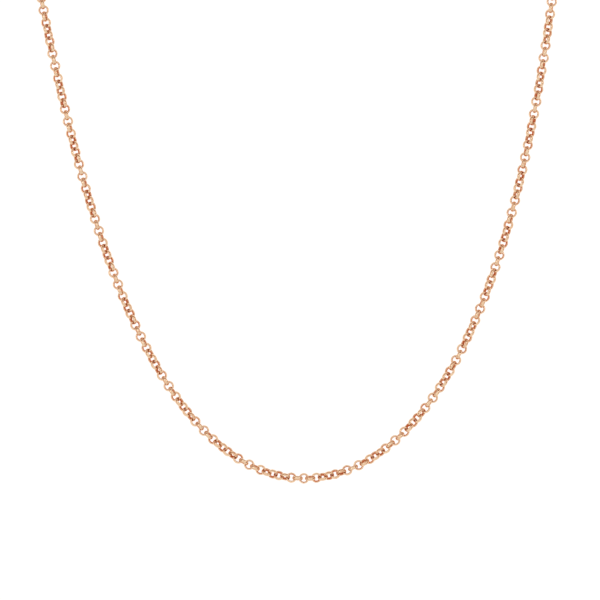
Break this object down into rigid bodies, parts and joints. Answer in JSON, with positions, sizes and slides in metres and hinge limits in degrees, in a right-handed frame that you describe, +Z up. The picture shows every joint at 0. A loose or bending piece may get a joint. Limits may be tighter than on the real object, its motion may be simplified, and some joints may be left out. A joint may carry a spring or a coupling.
{
  "type": "chain necklace",
  "caption": "Fine belcher (rolo) chain necklace of round interlocked links, lying open, with a bolt ring clasp and an oval end tag.",
  "frame": {"origin": "on the surface that the necklace lies on, under the middle link of the front, where a pendant would sit", "axes": "+X to the right across the necklace, +Y from the front of the neck to the back, +Z up from the surface"},
  "size_m": [0.1218, 0.1609, 0.0026],
  "materials": {
    "chain_gold": "polished rose gold",
    "fittings_gold": "polished rose gold",
    "spring_steel": "drawn wire"
  },
  "bodies": {
    "front_centre": {"front_centre": "chain_gold"},
    "left_01": {"left_01": "chain_gold"},
    "left_02": {"left_02": "chain_gold"},
    "left_03": {"left_03": "chain_gold"},
    "left_04": {"left_04": "chain_gold"},
    "left_05": {"left_05": "chain_gold"},
    "left_06": {"left_06": "chain_gold"},
    "left_07": {"left_07": "chain_gold"},
    "left_08": {"left_08": "chain_gold"},
    "left_09": {"left_09": "chain_gold"},
    "left_10": {"left_10": "chain_gold"},
    "left_11": {"left_11": "chain_gold"},
    "left_12": {"left_12": "chain_gold"},
    "left_13": {"left_13": "chain_gold"},
    "left_14": {"left_14": "chain_gold"},
    "right_01": {"right_01": "chain_gold"},
    "right_02": {"right_02": "chain_gold"},
    "right_03": {"right_03": "chain_gold"},
    "right_04": {"right_04": "chain_gold"},
    "right_05": {"right_05": "chain_gold"},
    "right_06": {"right_06": "chain_gold"},
    "right_07": {"right_07": "chain_gold"},
    "right_08": {"right_08": "chain_gold"},
    "right_09": {"right_09": "chain_gold"},
    "right_10": {"right_10": "chain_gold"},
    "right_11": {"right_11": "chain_gold"},
    "right_12": {"right_12": "chain_gold"},
    "right_13": {"right_13": "chain_gold"},
    "right_14": {"right_14": "chain_gold"},
    "tag_ring": {"tag_jump_ring": "fittings_gold"},
    "tag": {"end_tag": "fittings_gold"},
    "clasp_ring": {"clasp_jump_ring": "fittings_gold"},
    "clasp": {"clasp_eye": "fittings_gold", "clasp_housing": "fittings_gold", "clasp_spring": "spring_steel"},
    "bolt": {"clasp_bolt": "fittings_gold", "clasp_thumb_piece": "fittings_gold"}
  },
  "joints": [
    {"name": "tag_ring_swing", "type": "hinge", "parent": "left_14", "child": "tag_ring", "pos_m": [-0.01132, 0.15667, 0.00122], "axis": [0, 1, 0], "range_deg": [-35, 35]},
    {"name": "tag_swing", "type": "hinge", "parent": "tag_ring", "child": "tag", "pos_m": [-0.00984, 0.15667, 0.0008], "axis": [0, 0, 1], "range_deg": [-35, 35]},
    {"name": "clasp_ring_swing", "type": "hinge", "parent": "right_14", "child": "clasp_ring", "pos_m": [0.00632, 0.1566, 0.00122], "axis": [0, -1, 0], "range_deg": [-35, 35]},
    {"name": "clasp_swing", "type": "hinge", "parent": "clasp_ring", "child": "clasp", "pos_m": [0.00484, 0.1566, 0.0008], "axis": [0, 0, 1], "range_deg": [-35, 35]},
    {"name": "bolt_pull", "type": "hinge", "parent": "clasp", "child": "bolt", "pos_m": [0.00082, 0.1566, 0.0008], "axis": [0, 0, 1], "range_deg": [0, 62], "stiffness_Nm_per_rad": 0.0008, "springref_deg": -22.92, "deforming": ["clasp_spring"]},
    {"name": "left_01_turn", "type": "hinge", "parent": "front_centre", "child": "left_01", "pos_m": [-0.00973, 0.00183, 0.00122], "axis": [-0.1622, -0.4777, 0.8634], "range_deg": [-40, 40]},
    {"name": "left_02_turn", "type": "hinge", "parent": "left_01", "child": "left_02", "pos_m": [-0.02186, 0.0098, 0.00122], "axis": [-0.6274, -0.693, -0.3551], "range_deg": [-40, 40]},
    {"name": "left_03_turn", "type": "hinge", "parent": "left_02", "child": "left_03", "pos_m": [-0.03108, 0.02108, 0.00122], "axis": [0.1621, 0.1101, -0.9806], "range_deg": [-40, 40]},
    {"name": "left_04_turn", "type": "hinge", "parent": "left_03", "child": "left_04", "pos_m": [-0.03882, 0.03514, 0.00122], "axis": [0.1279, 0.0611, 0.9899], "range_deg": [-40, 40]},
    {"name": "left_05_turn", "type": "hinge", "parent": "left_04", "child": "left_05", "pos_m": [-0.04441, 0.04863, 0.00122], "axis": [-0.892, -0.3354, 0.3032], "range_deg": [-40, 40]},
    {"name": "left_06_turn", "type": "hinge", "parent": "left_05", "child": "left_06", "pos_m": [-0.04905, 0.06247, 0.00122], "axis": [-0.4359, -0.1351, -0.8898], "range_deg": [-40, 40]},
    {"name": "left_07_turn", "type": "hinge", "parent": "left_06", "child": "left_07", "pos_m": [-0.05337, 0.07793, 0.00122], "axis": [-0.7032, -0.1827, -0.6871], "range_deg": [-40, 40]},
    {"name": "left_08_turn", "type": "hinge", "parent": "left_07", "child": "left_08", "pos_m": [-0.05678, 0.09213, 0.00122], "axis": [-0.544, -0.1232, 0.83], "range_deg": [-40, 40]},
    {"name": "left_09_turn", "type": "hinge", "parent": "left_08", "child": "left_09", "pos_m": [-0.05979, 0.10641, 0.00122], "axis": [0.8929, 0.1793, 0.4131], "range_deg": [-40, 40]},
    {"name": "left_10_turn", "type": "hinge", "parent": "left_09", "child": "left_10", "pos_m": [-0.06155, 0.12234, 0.00122], "axis": [0.9951, 0.0044, -0.099], "range_deg": [-40, 40]},
    {"name": "left_11_turn", "type": "hinge", "parent": "left_10", "child": "left_11", "pos_m": [-0.05884, 0.13661, 0.00122], "axis": [-0.4261, 0.1566, -0.891], "range_deg": [-40, 40]},
    {"name": "left_12_turn", "type": "hinge", "parent": "left_11", "child": "left_12", "pos_m": [-0.05028, 0.14827, 0.00122], "axis": [-0.4414, 0.4974, 0.7468], "range_deg": [-40, 40]},
    {"name": "left_13_turn", "type": "hinge", "parent": "left_12", "child": "left_13", "pos_m": [-0.03584, 0.15498, 0.00122], "axis": [-0.0394, 0.1556, 0.987], "range_deg": [-40, 40]},
    {"name": "left_14_turn", "type": "hinge", "parent": "left_13", "child": "left_14", "pos_m": [-0.02134, 0.15655, 0.00122], "axis": [0.0401, -0.977, -0.2093], "range_deg": [-40, 40]},
    {"name": "right_01_turn", "type": "hinge", "parent": "front_centre", "child": "right_01", "pos_m": [0.00974, 0.00176, 0.00122], "axis": [-0.1292, 0.3957, 0.9092], "range_deg": [-40, 40]},
    {"name": "right_02_turn", "type": "hinge", "parent": "right_01", "child": "right_02", "pos_m": [0.02199, 0.00956, 0.00122], "axis": [-0.6585, 0.7462, -0.0976], "range_deg": [-40, 40]},
    {"name": "right_03_turn", "type": "hinge", "parent": "right_02", "child": "right_03", "pos_m": [0.03127, 0.02079, 0.00122], "axis": [-0.1917, 0.1303, -0.9728], "range_deg": [-40, 40]},
    {"name": "right_04_turn", "type": "hinge", "parent": "right_03", "child": "right_04", "pos_m": [0.03888, 0.03491, 0.00122], "axis": [0.6234, -0.2858, 0.7278], "range_deg": [-40, 40]},
    {"name": "right_05_turn", "type": "hinge", "parent": "right_04", "child": "right_05", "pos_m": [0.04415, 0.04852, 0.00122], "axis": [-0.4396, 0.1512, 0.8854], "range_deg": [-40, 40]},
    {"name": "right_06_turn", "type": "hinge", "parent": "right_05", "child": "right_06", "pos_m": [0.04832, 0.06251, 0.00122], "axis": [-0.9547, 0.2561, -0.1513], "range_deg": [-40, 40]},
    {"name": "right_07_turn", "type": "hinge", "parent": "right_06", "child": "right_07", "pos_m": [0.05196, 0.07815, 0.00122], "axis": [0.9125, -0.1914, -0.3616], "range_deg": [-40, 40]},
    {"name": "right_08_turn", "type": "hinge", "parent": "right_07", "child": "right_08", "pos_m": [0.05463, 0.0925, 0.00122], "axis": [0.6363, -0.1086, 0.7638], "range_deg": [-40, 40]},
    {"name": "right_09_turn", "type": "hinge", "parent": "right_08", "child": "right_09", "pos_m": [0.05683, 0.10694, 0.00122], "axis": [-0.5071, 0.0713, 0.859], "range_deg": [-40, 40]},
    {"name": "right_10_turn", "type": "hinge", "parent": "right_09", "child": "right_10", "pos_m": [0.05769, 0.12294, 0.00122], "axis": [0.213, 0.0104, -0.977], "range_deg": [-40, 40]},
    {"name": "right_11_turn", "type": "hinge", "parent": "right_10", "child": "right_11", "pos_m": [0.05432, 0.13707, 0.00122], "axis": [-0.9186, -0.381, -0.1045], "range_deg": [-40, 40]},
    {"name": "right_12_turn", "type": "hinge", "parent": "right_11", "child": "right_12", "pos_m": [0.04539, 0.14846, 0.00122], "axis": [0.0036, 0.0042, 1], "range_deg": [-40, 40]},
    {"name": "right_13_turn", "type": "hinge", "parent": "right_12", "child": "right_13", "pos_m": [0.03084, 0.15496, 0.00122], "axis": [0.0665, 0.272, 0.96], "range_deg": [-40, 40]},
    {"name": "right_14_turn", "type": "hinge", "parent": "right_13", "child": "right_14", "pos_m": [0.01634, 0.15648, 0.00122], "axis": [0.0366, 0.9226, -0.384], "range_deg": [-40, 40]}
  ]
}
